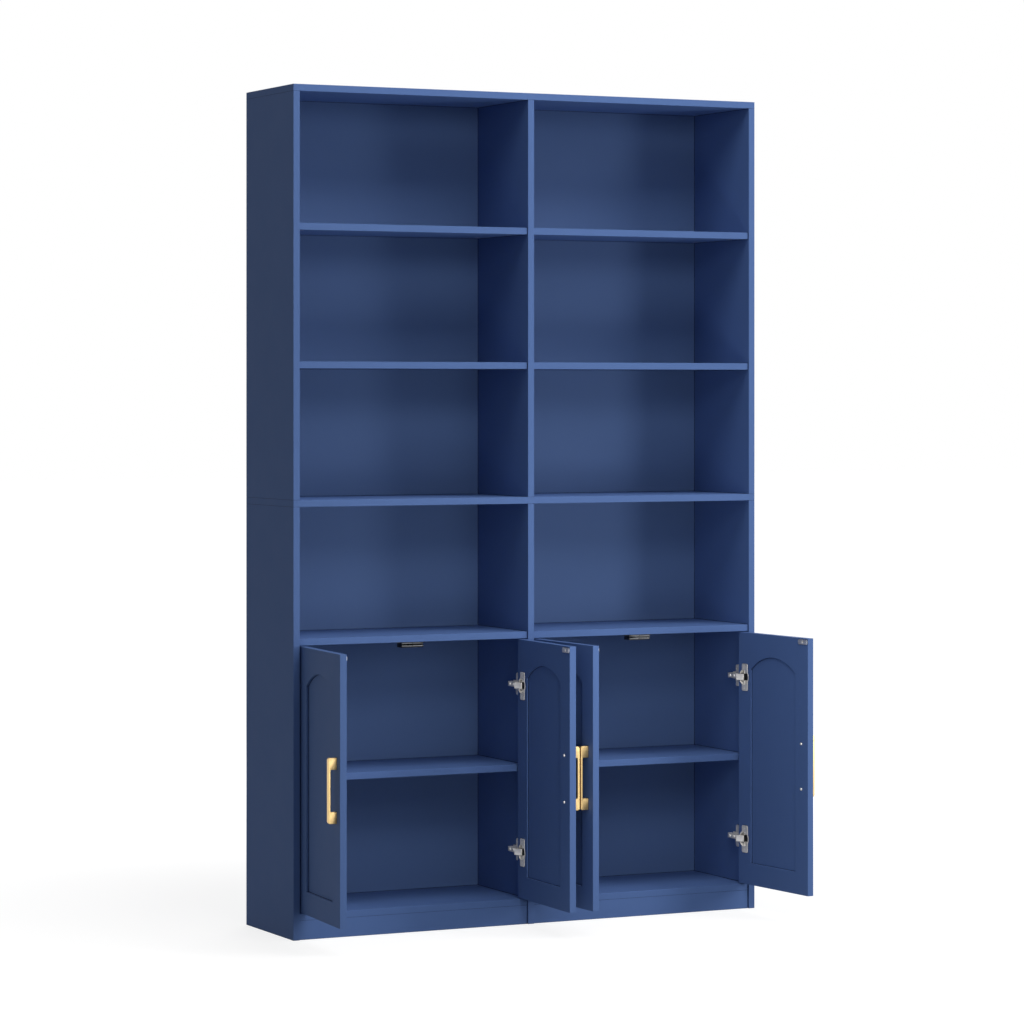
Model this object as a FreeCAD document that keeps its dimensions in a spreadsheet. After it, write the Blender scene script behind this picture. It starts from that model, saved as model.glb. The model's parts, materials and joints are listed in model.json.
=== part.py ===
"""Bookcase with four open bays a side above a two-bay cabinet with four inset doors.

Millimetres, +Z up, the front faces -Y. The origin lies on the floor, in the middle of the case's width and
depth. Every size is a cell of the sheet named Sizes; every place is a formula of those cells.
The doors stand open, as they do at joint value 0.
"""
import os
import re

import FreeCAD, Part
import Sketcher

doc = FreeCAD.newDocument("Bookcase")
sheet = doc.addObject("Spreadsheet::Sheet", "Sizes")

SIZES = {
    # the case
    "case_width": 1150,
    "case_depth": 270,
    "case_height": 1855,
    "board": 15,
    "soft_edge": 0.5,
    "plinth_height": 42,
    "cabinet_clear": 581,
    "shelf_setback": 4,
    "inner_shelf_setback": 24,
    # back panels, in grooves all round
    "back_thickness": 3,
    "back_inset": 10,
    "groove_depth": 5,
    "groove_play": 0.15,
    "back_slack": 0.5,
    # cams and their bolts
    "cam_diameter": 15,
    "cam_depth": 12.5,
    "cam_from_end": 24,
    "cam_spread": 80,
    "cam_slot": 1.6,
    "shank_in_cam": 1,
    "bolt_diameter": 6,
    "bolt_neck": 3.8,
    "bolt_head": 3,
    "bolt_play": 0.5,
    "bolt_thread": 10,
    # wooden dowels
    "dowel_diameter": 8,
    "dowel_length": 30,
    "dowel_seat": 10,
    "dowel_stagger": 20,
    "dowel_spread": 60,
    "plinth_stagger": 7,
    # screws down through the top and middle panels
    "panel_screw_length": 50,
    "panel_screw_shank": 7,
    "panel_screw_core": 5,
    "panel_screw_head": 10,
    "panel_screw_head_height": 3,
    "panel_screw_socket": 4,
    "panel_screw_spread": 95,
    "fit_play": 0.1,
    "slot_share": 0.6,
    # doors
    "door_board": 15,
    "hinge_gap": 2.5,
    "meeting_gap": 2.5,
    "door_end_gap": 2,
    "stile": 49,
    "bottom_rail": 50,
    "crown_rail": 52,
    "arch_rise": 31,
    "front_recess": 5.5,
    "back_recess": 3.5,
    "recess_ease": 1,
    "outer_angle": 94.7,
    "inner_angle": 88,
    "pole_in": 10,
    "pole_back": 6,
    # pulls
    "pull_length": 139,
    "pull_foot": 25,
    "pull_width": 11,
    "pull_reach": 18.5,
    "pull_bar": 4.6,
    "pull_corner": 5,
    "pull_from_edge": 26,
    "pull_pitch": 101.6,
    "pull_screw": 4,
    "pull_screw_head": 8,
    "pull_screw_head_height": 2.2,
    "pull_screw_bite": 9,
    # concealed hinges
    "hinge_from_end": 103,
    "cup_diameter": 35,
    "cup_depth": 11.3,
    "cup_wall": 0.8,
    "cup_rim": 1,
    "cup_from_edge": 21.5,
    "cup_pin": 2.5,
    "cup_pin_offset": 3.75,
    "cup_pin_below": 4.5,
    "flange_width": 23,
    "flange_height": 62,
    "flange_sheet": 1.2,
    "flange_corner": 4,
    "flange_offset": 4,
    "flange_pitch": 48,
    "plate_back": 50,
    "plate_pitch": 32,
    "plate_sheet": 2,
    "wing_width": 14,
    "wing_height": 50,
    "wing_corner": 5,
    "saddle_length": 34,
    "saddle_height": 16,
    "saddle_rise": 4,
    "arm_pivot_in": 14,
    "arm_pivot_behind": 9,
    "arm_height": 11,
    "arm_depth": 10.5,
    "arm_tail": 22,
    "arm_shoulder": 12,
    "arm_screw": 4,
    "arm_screw_head": 7,
    "arm_screw_head_height": 1.6,
    "arm_screw_length": 12.5,
    "tip_radius": 3.2,
    "pin_diameter": 3,
    "link_height": 14,
    "link_sheet": 2.5,
    "link_eye": 3.4,
    "link_slot": 7.5,
    "link_barrel": 4,
    "link_bend_in": 12,
    "link_bend_forward": 12,
    "link_end_in": 2.5,
    "link_end_forward": 26,
    "link_ratio": 0.5,
    "running_play": 0.3,
    # small countersunk screws
    "screw_diameter": 3.5,
    "screw_length": 13,
    "plate_screw_length": 9,
    "screw_head": 6.4,
    "screw_head_height": 1.5,
    "screw_cross": 0.8,
    # magnetic catches and strike plates
    "catch_width": 69,
    "catch_height": 13,
    "catch_length": 24,
    "catch_ear": 8,
    "catch_ear_sheet": 3,
    "pole_length": 25,
    "pole_sheet": 1.6,
    "pole_depth": 12,
    "pole_proud": 0.5,
    "pole_spacing": 5.6,
    "pole_split": 1.6,
    "strike_width": 35,
    "strike_height": 11,
    "strike_sheet": 1.5,
    "strike_corner": 4,
    "strike_from_edge": 19,
    "strike_from_top": 9,
}

# Places and sizes that follow from the cells above; a formula may name another one.
PLACES = {
    "bay": "(case_width - 3 * board) / 2",
    "open_bay": "(case_height - plinth_height - cabinet_clear - 6 * board) / 4",
    "front": "-case_depth / 2",
    "rear": "case_depth / 2",
    "wall": "case_width / 2 - board",
    "half_board": "board / 2",
    "cabinet_floor": "plinth_height + board",
    "inner_shelf_z": "cabinet_floor + (cabinet_clear - board) / 2",
    "cabinet_top_z": "cabinet_floor + cabinet_clear",
    "mid_z": "cabinet_top_z + board + open_bay",
    "shelf_1_z": "mid_z + board + open_bay",
    "shelf_2_z": "shelf_1_z + board + open_bay",
    "top_z": "case_height - board",
    "back_front": "rear - back_inset - back_thickness",
    "shelf_front": "front + shelf_setback",
    "shelf_rear": "back_front - back_slack",
    "shelf_mid": "(shelf_front + shelf_rear) / 2",
    "inner_front": "front + inner_shelf_setback",
    "inner_mid": "(inner_front + shelf_rear) / 2",
    "floor_mid": "(shelf_front + rear) / 2",
    "plinth_mid": "shelf_front + half_board",
    "cam_reach": "cam_from_end - cam_diameter / 2 + shank_in_cam",
    "cam_mouth": "bolt_diameter + 2 * bolt_play + 4 * fit_play",
    "dowel_bore": "dowel_diameter / 2 + fit_play",
    "dowel_reach": "dowel_length - dowel_seat + back_slack",
    "door_width": "(bay - 2 * hinge_gap - meeting_gap) / 2",
    "door_height": "cabinet_clear - 2 * door_end_gap",
    "door_z": "cabinet_floor + door_end_gap",
    "across": "hinge_gap + door_width / 2 - pole_in",
    "arch_half": "door_width / 2 - stile",
    "arch_radius": "(arch_half ^ 2 + arch_rise ^ 2) / (2 * arch_rise)",
    "crown_z": "door_height - crown_rail",
    "spring_z": "crown_z - arch_rise",
    "cup_x": "door_width / 2 - cup_from_edge",
    "cup_pin_half": "sqrt((cup_diameter / 2 - cup_wall / 2) ^ 2 - cup_pin_offset ^ 2)",
    "pull_x": "door_width / 2 - pull_from_edge",
    "strike_x": "door_width / 2 - strike_from_edge",
    "strike_z": "door_height - strike_from_top",
    "low_hinge": "hinge_from_end",
    "high_hinge": "door_height - hinge_from_end",
    "plate_y": "front + plate_back",
    "arm_base": "saddle_rise + running_play",
    "arm_top": "arm_base + arm_depth",
    "pivot_back": "door_board + arm_pivot_behind",
    "arm_slot": "arm_height + 2 * running_play",
    "link_leg": "sqrt(link_bend_in ^ 2 + link_bend_forward ^ 2)",
    "link_back_in": "link_bend_in - link_end_in",
    "link_on": "link_end_forward - link_bend_forward",
    "link_leg_2": "sqrt(link_back_in ^ 2 + link_on ^ 2)",
    "catch_z": "cabinet_top_z - catch_height",
    "catch_face": "front + door_board + strike_sheet + running_play + pole_proud",
    "catch_body_half": "catch_width / 2 - catch_ear",
    "ear_hole": "catch_width / 2 - catch_ear / 2",
}


def formula(text):
    """Turns the words of SIZES and PLACES into cells of the sheet."""
    def swap(match):
        word = match.group(0)
        if word in PLACES:
            return "(" + formula(PLACES[word]) + ")"
        return "Sizes." + word if word in SIZES else word
    return re.sub(r"[a-z][a-z_0-9]*", swap, text)


def number(text):
    """The present value of a formula, which a sketch needs as its first guess."""
    plain = re.sub(r"Sizes\.(\w+)", lambda match: str(SIZES[match.group(1)]), formula(text))
    return FreeCAD.Units.Quantity(plain).Value


def bind(thing, **sizes):
    for name, text in sizes.items():
        thing.setExpression(name, formula(text))


def put(thing, x="0", y="0", z="0", turn=None):
    """Places a thing by formulas; turn is its angle about +Z."""
    bind(thing, **{"Placement.Base.x": x, "Placement.Base.y": y, "Placement.Base.z": z})
    if turn is not None:
        thing.Placement.Rotation = FreeCAD.Rotation(FreeCAD.Vector(0, 0, 1), 1)
        bind(thing, **{"Placement.Rotation.Angle": turn})
    return thing


def box(name, length, width, height, x="0", y="0", z="0"):
    thing = doc.addObject("Part::Box", name)
    bind(thing, Length=length, Width=width, Height=height)
    return put(thing, x, y, z)


def centred_box(name, length, width, height, x="0", y="0", z="0"):
    return box(name, length, width, height, f"{x} - ({length}) / 2", f"{y} - ({width}) / 2",
               f"{z} - ({height}) / 2")


# What turns +z to each of these ways.
WAYS = {"+x": ((0, 1, 0), 90), "-x": ((0, 1, 0), -90), "+y": ((1, 0, 0), -90), "-y": ((1, 0, 0), 90),
        "+z": ((0, 0, 1), 0), "-z": ((1, 0, 0), 180)}


def rod(name, radius, length, x="0", y="0", z="0", way="+z"):
    """A cylinder that starts at x, y, z and runs the given way."""
    thing = doc.addObject("Part::Cylinder", name)
    bind(thing, Radius=radius, Height=length)
    axis, angle = WAYS[way]
    thing.Placement.Rotation = FreeCAD.Rotation(FreeCAD.Vector(*axis), angle)
    return put(thing, x, y, z)


def cone(name, low_radius, high_radius, height, z):
    thing = doc.addObject("Part::Cone", name)
    bind(thing, Radius1=low_radius, Radius2=high_radius, Height=height)
    return put(thing, z=z)


def fuse(name, things):
    thing = doc.addObject("Part::MultiFuse", name)
    thing.Shapes = things
    return thing


def group(name, things):
    thing = doc.addObject("Part::Compound", name)
    thing.Links = things
    return thing


def cut(name, base, tools):
    thing = doc.addObject("Part::Cut", name)
    thing.Base = base
    thing.Tool = tools[0] if len(tools) == 1 else group(name + "_cuts", tools)
    return thing


def copy(name, master, x="0", y="0", z="0", axis=(0, 0, 1), angle=0):
    """A linked copy of a master, turned by a fixed angle and placed by formulas."""
    thing = doc.addObject("App::Link", name)
    thing.LinkedObject = master
    thing.LinkTransform = True
    thing.Placement.Rotation = FreeCAD.Rotation(FreeCAD.Vector(*axis), angle)
    return put(thing, x, y, z)


def pointed(name, master, way, x="0", y="0", z="0"):
    """A linked copy of a master whose +z points the given way."""
    return copy(name, master, x, y, z, *WAYS[way])


NEAR = 1e-4


def edges_along(shape, axis):
    """The names of a box's four edges along an axis."""
    named = [(f"Edge{index}", edge) for index, edge in enumerate(shape.Edges, start=1)]
    return [name for name, edge in named if abs(abs(edge.tangentAt(edge.FirstParameter)[axis]) - 1) < NEAR]


def softened(name, length, width, height):
    """A board with all its edges eased, as a body whose lowest corner is its origin."""
    body = doc.addObject("PartDesign::Body", name + "_blank")
    block = body.newObject("PartDesign::AdditiveBox", name + "_block")
    bind(block, Length=length, Width=width, Height=height)
    doc.recompute([block])
    ease = body.newObject("PartDesign::Fillet", name + "_ease")
    ease.Base = (block, [""])
    ease.UseAllEdges = True
    bind(ease, Radius="soft_edge")
    return body


def rounded(name, length, width, height, corner, axis):
    """A plate whose four edges along an axis (0, 1 or 2) are rounded, as a body at its lowest corner."""
    body = doc.addObject("PartDesign::Body", name + "_blank")
    block = body.newObject("PartDesign::AdditiveBox", name + "_block")
    bind(block, Length=length, Width=width, Height=height)
    doc.recompute([block])
    corners = body.newObject("PartDesign::Fillet", name + "_corners")
    corners.Base = (block, edges_along(block.Shape, axis))
    bind(corners, Radius=corner)
    return body


def sketch_on(body, name, role, offset="0"):
    """A sketch on one of its body's own planes, moved along the plane's normal."""
    sketch = body.newObject("Sketcher::SketchObject", name)
    plane = [item for item in body.Origin.OriginFeatures if item.Role == role][0]
    sketch.AttachmentSupport = [(plane, "")]
    sketch.MapMode = "FlatFace"
    bind(sketch, **{"AttachmentOffset.Base.z": offset})
    return sketch


def pin_point(sketch, line, end, x, y):
    """Ties a point of a sketch to formulas, measured from the sketch's origin."""
    for kind, text in (("DistanceX", x), ("DistanceY", y)):
        index = sketch.addConstraint(Sketcher.Constraint(kind, -1, 1, line, end, number(text)))
        sketch.setExpression(f"Constraints[{index}]", formula(text))


def polygon(sketch, points):
    """A closed run of straight lines through points given as pairs of formulas."""
    corners = [FreeCAD.Vector(number(x), number(y), 0) for x, y in points]
    for start, end in zip(corners, corners[1:] + corners[:1]):
        sketch.addGeometry(Part.LineSegment(start, end))
    for line in range(len(points)):
        following = (line + 1) % len(points)
        sketch.addConstraint(Sketcher.Constraint("Coincident", line, 2, following, 1))
        pin_point(sketch, line, 1, *points[line])


def pad(body, sketch, length, midplane=False):
    feature = body.newObject("PartDesign::Pad", sketch.Name + "_pad")
    feature.Profile = sketch
    feature.Midplane = midplane
    bind(feature, Length=length)
    return feature


def pocket(body, sketch, depth, backwards=False):
    feature = body.newObject("PartDesign::Pocket", sketch.Name + "_pocket")
    feature.Profile = sketch
    feature.Reversed = backwards
    bind(feature, Length=depth)
    return feature


nodes = {}


def node(name, thing):
    """Keeps a finished sub-part under the name that its file gets."""
    thing.Label = name
    nodes[name] = thing
    return thing


for row, (name, value) in enumerate(SIZES.items(), start=1):
    sheet.set(f"A{row}", name)
    sheet.set(f"B{row}", str(value))
    sheet.setAlias(f"B{row}", name)
doc.recompute()

# ---------------------------------------------------------------- bores and fittings that repeat
SIDES = {"front": "-1", "rear": "1"}

# The bores in a board's end: origin at the middle of the end face on the underside, the board running to +x.
# Two cams with their bolts, and one dowel in front of the middle. Half a turn round, they fit the other end.
end_bore_rods = [rod("end_dowel_bore", "dowel_bore", "dowel_reach", "0", "-dowel_stagger", "half_board",
                     "+x")]
wall_bore_rods = [rod("wall_dowel_bore", "dowel_bore", "dowel_seat + back_slack", "0", "-dowel_stagger",
                      "half_board", "-x")]
for side, sign in SIDES.items():
    y = f"{sign} * cam_spread"
    end_bore_rods += [
        rod(f"cam_bore_{side}", "cam_diameter / 2", "cam_depth", "cam_from_end", y),
        rod(f"bolt_bore_{side}", "bolt_diameter / 2 + bolt_play", "cam_from_end", "0", y, "half_board", "+x"),
    ]
    wall_bore_rods.append(rod(f"wall_bolt_bore_{side}", "bolt_diameter / 2 + fit_play",
                              "bolt_thread + back_slack", "0", y, "half_board", "-x"))
end_bores = fuse("end_bores", end_bore_rods)
wall_bores = group("wall_bores", wall_bore_rods)
bolt_passage = rod("bolt_passage", "bolt_diameter / 2 + fit_play", "board", "-half_board", "0", "half_board",
                   "+x")
wall_dowel_bore = wall_bore_rods[0]

# A cam: origin at its centre on the board's underside, its mouth towards -x.
cam = cut("cam", rod("cam_body", "cam_diameter / 2 - fit_play", "cam_depth - 2 * fit_play"), [
    box("cam_mouth_cut", "cam_diameter / 2 + bolt_head", "cam_mouth", "cam_mouth", "-cam_diameter / 2",
        "-cam_mouth / 2", "half_board - cam_mouth / 2"),
    centred_box("cam_slot_cut", "slot_share * cam_diameter", "cam_slot", "2 * cam_slot")])

# A bolt reaching from an upright's face to +x into a cam: shank, neck and head.
bolt_reach = fuse("bolt_reach", [
    rod("bolt_shank", "bolt_diameter / 2", "cam_reach", way="+x"),
    rod("bolt_neck_rod", "bolt_neck / 2", "cam_from_end - cam_reach", "cam_reach", way="+x"),
    rod("bolt_head_rod", "bolt_diameter / 2", "bolt_head", "cam_from_end - bolt_head / 2", way="+x")])
cam_bolt = fuse("cam_bolt", [
    copy("cam_bolt_reach", bolt_reach),
    rod("cam_bolt_thread", "bolt_diameter / 2", "bolt_thread", way="-x")])
divider_bolt = fuse("divider_bolt", [
    copy("divider_bolt_right", bolt_reach, "half_board"),
    copy("divider_bolt_left", bolt_reach, "-half_board", angle=180),
    rod("divider_bolt_middle", "bolt_diameter / 2", "board", "-half_board", way="+x")])

# A dowel, seated at z = 0 with its length above, and the hole for a standing one.
dowel = rod("dowel", "dowel_diameter / 2", "dowel_length", z="-dowel_seat")
standing_bore = rod("standing_bore", "dowel_bore", "dowel_length + 2 * back_slack",
                    z="-dowel_seat - back_slack")

# A screw through a panel into an upright's end, its head flush at z = 0, and the hole for it.
panel_screw = cut("panel_screw", fuse("panel_screw_solid", [
    rod("panel_screw_top", "panel_screw_head / 2", "panel_screw_head_height", z="-panel_screw_head_height"),
    rod("panel_screw_shank_rod", "panel_screw_shank / 2", "board", z="-board"),
    rod("panel_screw_thread", "panel_screw_core / 2", "panel_screw_length", z="-panel_screw_length")]), [
    rod("panel_screw_socket_cut", "panel_screw_socket / 2", "panel_screw_head_height", way="-z")])
panel_screw_bore = fuse("panel_screw_bore", [
    rod("panel_head_bore", "panel_screw_head / 2 + fit_play", "panel_screw_head_height + fit_play", way="-z"),
    rod("panel_shank_bore", "panel_screw_shank / 2 + fit_play", "board + fit_play", way="-z"),
    rod("panel_thread_bore", "panel_screw_core / 2 + fit_play", "panel_screw_length + back_slack",
        way="-z")])


def countersunk(name, length):
    """A countersunk screw, flush at z = 0 and pointing down, and the hole for it."""
    head = "screw_head / 2"
    thread = "screw_diameter / 2"
    screw = cut(name, fuse(f"{name}_solid", [
        cone(f"{name}_head", thread, head, "screw_head_height", "-screw_head_height"),
        rod(f"{name}_thread", thread, length, way="-z")]), [
        centred_box(f"{name}_cross_a", "slot_share * screw_head", "screw_cross", "screw_head_height"),
        centred_box(f"{name}_cross_b", "screw_cross", "slot_share * screw_head", "screw_head_height")])
    hole = fuse(f"{name}_hole", [
        cone(f"{name}_sink", f"{thread} + fit_play", f"{head} + fit_play", "screw_head_height",
             "-screw_head_height"),
        rod(f"{name}_pilot", f"{thread} + fit_play", f"{length} + fit_play", way="-z")])
    return screw, hole


wood_screw, wood_screw_hole = countersunk("wood_screw", "screw_length")
plate_screw, plate_screw_hole = countersunk("plate_screw", "plate_screw_length")

# ---------------------------------------------------------------- levels and bays
# Each level of boards: underside, middle of the depth, front edge and rear edge.
LOWER_LEVELS = {
    "bottom_panel": ("plinth_height", "floor_mid", "shelf_front", "rear"),
    "cabinet_shelf": ("inner_shelf_z", "inner_mid", "inner_front", "shelf_rear"),
    "cabinet_top": ("cabinet_top_z", "shelf_mid", "shelf_front", "shelf_rear"),
}
UPPER_LEVELS = {
    "lower_shelf": ("shelf_1_z", "shelf_mid", "shelf_front", "shelf_rear"),
    "upper_shelf": ("shelf_2_z", "shelf_mid", "shelf_front", "shelf_rear"),
}
# Each bay: its left and right inner faces, and its middle.
BAYS = {"left": ("-wall", "-half_board", "-(bay + board) / 2"),
        "right": ("half_board", "wall", "(bay + board) / 2")}
HINGES = {"low": "low_hinge", "high": "high_hinge"}

cams, cam_bolts, divider_bolts, dowels, panel_screws = [], [], [], [], []

# ---------------------------------------------------------------- shelves, cabinet tops and bottom panels
for level, (z, middle, front_edge, rear_edge) in {**LOWER_LEVELS, **UPPER_LEVELS}.items():
    for bay, (left_face, right_face, bay_middle) in BAYS.items():
        name = f"{level}_{bay}"
        blank = softened(name, "bay", f"{rear_edge} - {front_edge}", "board")
        put(blank, left_face, front_edge, z)
        cuts = [copy(f"{name}_left_bores", end_bores, left_face, middle, z),
                copy(f"{name}_right_bores", end_bores, right_face, middle, z, angle=180)]
        if level == "bottom_panel":
            cuts.append(box(f"{name}_groove", "bay", "back_thickness + 2 * groove_play", "groove_depth",
                            left_face, "back_front - groove_play", "cabinet_floor - groove_depth"))
        if level == "cabinet_top":
            for ear, sign in (("left", "-"), ("right", "+")):
                cuts.append(pointed(f"{name}_{ear}_ear_hole", wood_screw_hole, "-z",
                                    f"{bay_middle} {sign} ear_hole", "catch_face + catch_length / 2",
                                    f"{z} - catch_ear_sheet"))
        node(name, cut(f"{name}_board", blank, cuts))

        for end, face, sign, angle in (("left", left_face, "+", 0), ("right", right_face, "-", 180)):
            for side, depth in SIDES.items():
                y = f"{middle} + {depth} * cam_spread"
                cams.append(copy(f"{name}_{end}_{side}_cam", cam, f"{face} {sign} cam_from_end", y, z,
                                 angle=angle))
                if bay == end:
                    cam_bolts.append(copy(f"{name}_{side}_bolt", cam_bolt, face, y, f"{z} + half_board",
                                          angle=angle))
                elif bay == "left":
                    divider_bolts.append(copy(f"{level}_{side}_divider_bolt", divider_bolt, "0", y,
                                              f"{z} + half_board"))
            dowels.append(pointed(f"{name}_{end}_dowel", dowel, f"{sign}x", face,
                                  f"{middle} - ({sign}dowel_stagger)", f"{z} + half_board"))

# ---------------------------------------------------------------- plinth boards, one dowel at each end
for bay, (left_face, right_face, bay_middle) in BAYS.items():
    name = f"plinth_{bay}"
    blank = softened(name, "bay", "board", "plinth_height")
    put(blank, left_face, "shelf_front")
    cuts = []
    for end, face, sign in (("left", left_face, "+"), ("right", right_face, "-")):
        z = f"plinth_height / 2 - ({sign}plinth_stagger)"
        cuts.append(rod(f"{name}_{end}_bore", "dowel_bore", "dowel_reach", face, "plinth_mid", z, f"{sign}x"))
        dowels.append(pointed(f"{name}_{end}_dowel", dowel, f"{sign}x", face, "plinth_mid", z))
    node(name, cut(f"{name}_board", blank, cuts))

# ---------------------------------------------------------------- back panels, in their grooves
for tier, low, high in (("lower", "cabinet_floor", "mid_z"), ("upper", "mid_z + board", "top_z")):
    for bay, (left_face, right_face, bay_middle) in BAYS.items():
        name = f"{tier}_back_{bay}"
        tucked = "groove_depth - back_slack"
        node(name, box(f"{name}_sheet", f"bay + 2 * ({tucked})", "back_thickness",
                       f"{high} - ({low}) + 2 * ({tucked})", f"{left_face} - ({tucked})", "back_front",
                       f"{low} - ({tucked})"))

# ---------------------------------------------------------------- uprights
# Each upright: the middle of its thickness, and the faces that look into a bay, with the way they look.
UPRIGHTS = {"left_side": ("-wall - half_board", {"+": "-wall"}),
            "divider": ("0", {"-": "-half_board", "+": "half_board"}),
            "right_side": ("wall + half_board", {"-": "wall"})}

for upright, (x_mid, faces) in UPRIGHTS.items():
    for tier, levels, low, high in (("lower", LOWER_LEVELS, "0", "mid_z"),
                                    ("upper", UPPER_LEVELS, "mid_z + board", "top_z")):
        name = f"{tier}_{upright}"
        blank = softened(name, "board", "case_depth", f"{high} - ({low})")
        put(blank, f"{x_mid} - half_board", "front", low)
        cuts = []
        for level, (z, middle, front_edge, rear_edge) in levels.items():
            if upright == "divider":
                for side, depth in SIDES.items():
                    cuts.append(copy(f"{name}_{level}_{side}_passage", bolt_passage, "0",
                                     f"{middle} + {depth} * cam_spread", z))
                for sign, face in faces.items():
                    cuts.append(copy(f"{name}_{level}_dowel_bore_{len(cuts)}", wall_dowel_bore, face,
                                     middle, z, angle=0 if sign == "+" else 180))
            else:
                for sign, face in faces.items():
                    cuts.append(copy(f"{name}_{level}_bores", wall_bores, face, middle, z,
                                     angle=0 if sign == "+" else 180))
        for sign, face in faces.items():
            inside = "-" if sign == "+" else "+"
            label = f"{name}_{'right' if sign == '+' else 'left'}"
            foot = "cabinet_floor - groove_depth" if tier == "lower" else low
            cuts.append(box(f"{label}_groove", "groove_depth", "back_thickness + 2 * groove_play",
                            f"{high} - ({foot})", f"{face} - groove_depth" if sign == "+" else face,
                            "back_front - groove_play", foot))
            if tier == "lower":
                cuts.append(rod(f"{label}_plinth_bore", "dowel_bore", "dowel_seat + back_slack", face,
                                "plinth_mid", f"plinth_height / 2 - ({sign}plinth_stagger)", f"{inside}x"))
                for hinge, height in HINGES.items():
                    for hole, shift in (("under", "-"), ("over", "+")):
                        cuts.append(pointed(f"{label}_{hinge}_{hole}_hole", plate_screw_hole, f"{sign}x",
                                            f"{face} {sign} plate_sheet", "plate_y",
                                            f"door_z + {height} {shift} plate_pitch / 2"))
        above = f"{high} + board"
        for side, depth in SIDES.items():
            y = f"{depth} * panel_screw_spread"
            cuts.append(copy(f"{name}_{side}_screw_bore", panel_screw_bore, x_mid, y, above))
            panel_screws.append(copy(f"{name}_{side}_screw", panel_screw, x_mid, y, above))
            if tier == "upper":
                y = f"{depth} * dowel_spread"
                cuts.append(copy(f"{name}_{side}_foot_bore", standing_bore, x_mid, y, low))
                dowels.append(copy(f"{name}_{side}_foot_dowel", dowel, x_mid, y, low))
        node(name, cut(f"{name}_board", blank, cuts))

# ---------------------------------------------------------------- middle and top panels, over the full width
for name, z, grooved in (("middle_panel", "mid_z", ["over", "under"]), ("top_panel", "top_z", ["under"])):
    blank = softened(name, "case_width", "case_depth", "board")
    put(blank, "-case_width / 2", "front", z)
    cuts = []
    for bay, (left_face, right_face, bay_middle) in BAYS.items():
        for face in grooved:
            start = f"{z} + board - groove_depth" if face == "over" else z
            cuts.append(box(f"{name}_{bay}_{face}_groove", "bay + 2 * groove_depth",
                            "back_thickness + 2 * groove_play", "groove_depth",
                            f"{left_face} - groove_depth", "back_front - groove_play", start))
    for upright, (x_mid, faces) in UPRIGHTS.items():
        for side, depth in SIDES.items():
            cuts.append(copy(f"{name}_{upright}_{side}_screw_bore", panel_screw_bore, x_mid,
                             f"{depth} * panel_screw_spread", f"{z} + board"))
            if name == "middle_panel":
                cuts.append(copy(f"{name}_{upright}_{side}_dowel_bore", standing_bore, x_mid,
                                 f"{depth} * dowel_spread", f"{z} + board"))
    node(name, cut(f"{name}_board", blank, cuts))

node("cam_discs", group("cam_disc_set", cams))
node("cam_bolts", group("cam_bolt_set", cam_bolts))
node("divider_bolts", group("divider_bolt_set", divider_bolts))
node("wooden_dowels", group("wooden_dowel_set", dowels))
node("panel_screws", group("panel_screw_set", panel_screws))

# ---------------------------------------------------------------- what the doors carry
# A pull, seen from its end a C: two deep feet and a thin bar. Origin on the door's face at its middle.
pull_body = doc.addObject("PartDesign::Body", "pull_body")
pull_sketch = sketch_on(pull_body, "pull_profile", "YZ_Plane")
polygon(pull_sketch, [
    ("0", "-pull_length / 2"),
    ("0", "-pull_length / 2 + pull_foot"),
    ("-pull_reach + pull_bar", "-pull_length / 2 + pull_foot"),
    ("-pull_reach + pull_bar", "pull_length / 2 - pull_foot"),
    ("0", "pull_length / 2 - pull_foot"),
    ("0", "pull_length / 2"),
    ("-pull_reach", "pull_length / 2"),
    ("-pull_reach", "-pull_length / 2"),
])
pull_pad = pad(pull_body, pull_sketch, "pull_width", midplane=True)
doc.recompute()


def corner_edges(shape, y, half):
    """The names of the edges that run across a pull at a depth and at plus and minus a height."""
    found = []
    for index, edge in enumerate(shape.Edges, start=1):
        middle = edge.CenterOfMass
        across = abs(abs(edge.tangentAt(edge.FirstParameter).x) - 1) < NEAR
        if across and abs(middle.y - y) < NEAR and abs(abs(middle.z) - half) < NEAR:
            found.append(f"Edge{index}")
    return found


pull_round = pull_body.newObject("PartDesign::Fillet", "pull_round")
pull_round.Base = (pull_pad, corner_edges(pull_pad.Shape, number("-pull_reach"), number("pull_length / 2")))
bind(pull_round, Radius="pull_corner")
doc.recompute()
pull_inside = pull_body.newObject("PartDesign::Fillet", "pull_inside")
pull_inside.Base = (pull_round, corner_edges(pull_round.Shape, number("-pull_reach + pull_bar"),
                                             number("pull_length / 2 - pull_foot")))
bind(pull_inside, Radius="pull_corner / 2")
pull_body.Tip = pull_inside

# The screw that holds a pull: head above z = 0, shank down through the door; and its holes.
pull_screw_length = "door_board + pull_screw_bite"
pull_screw = cut("pull_screw_body", fuse("pull_screw_solid", [
    rod("pull_screw_head_rod", "pull_screw_head / 2", "pull_screw_head_height"),
    rod("pull_screw_shank", "pull_screw / 2", pull_screw_length, way="-z")]), [
    centred_box("pull_screw_cross_a", "slot_share * pull_screw_head", "screw_cross", "screw_head_height",
                z="pull_screw_head_height"),
    centred_box("pull_screw_cross_b", "screw_cross", "slot_share * pull_screw_head", "screw_head_height",
                z="pull_screw_head_height")])
pull_screw_hole = rod("pull_screw_hole", "pull_screw / 2 + fit_play", f"{pull_screw_length} + back_slack",
                      way="-z")
pull_holes = [pointed(f"pull_hole_{label}", pull_screw_hole, "+y", "0", "door_board",
                      f"{sign} * pull_pitch / 2") for label, sign in (("low", "-1"), ("high", "1"))]
pull = cut("pull", pull_body, pull_holes)

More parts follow.
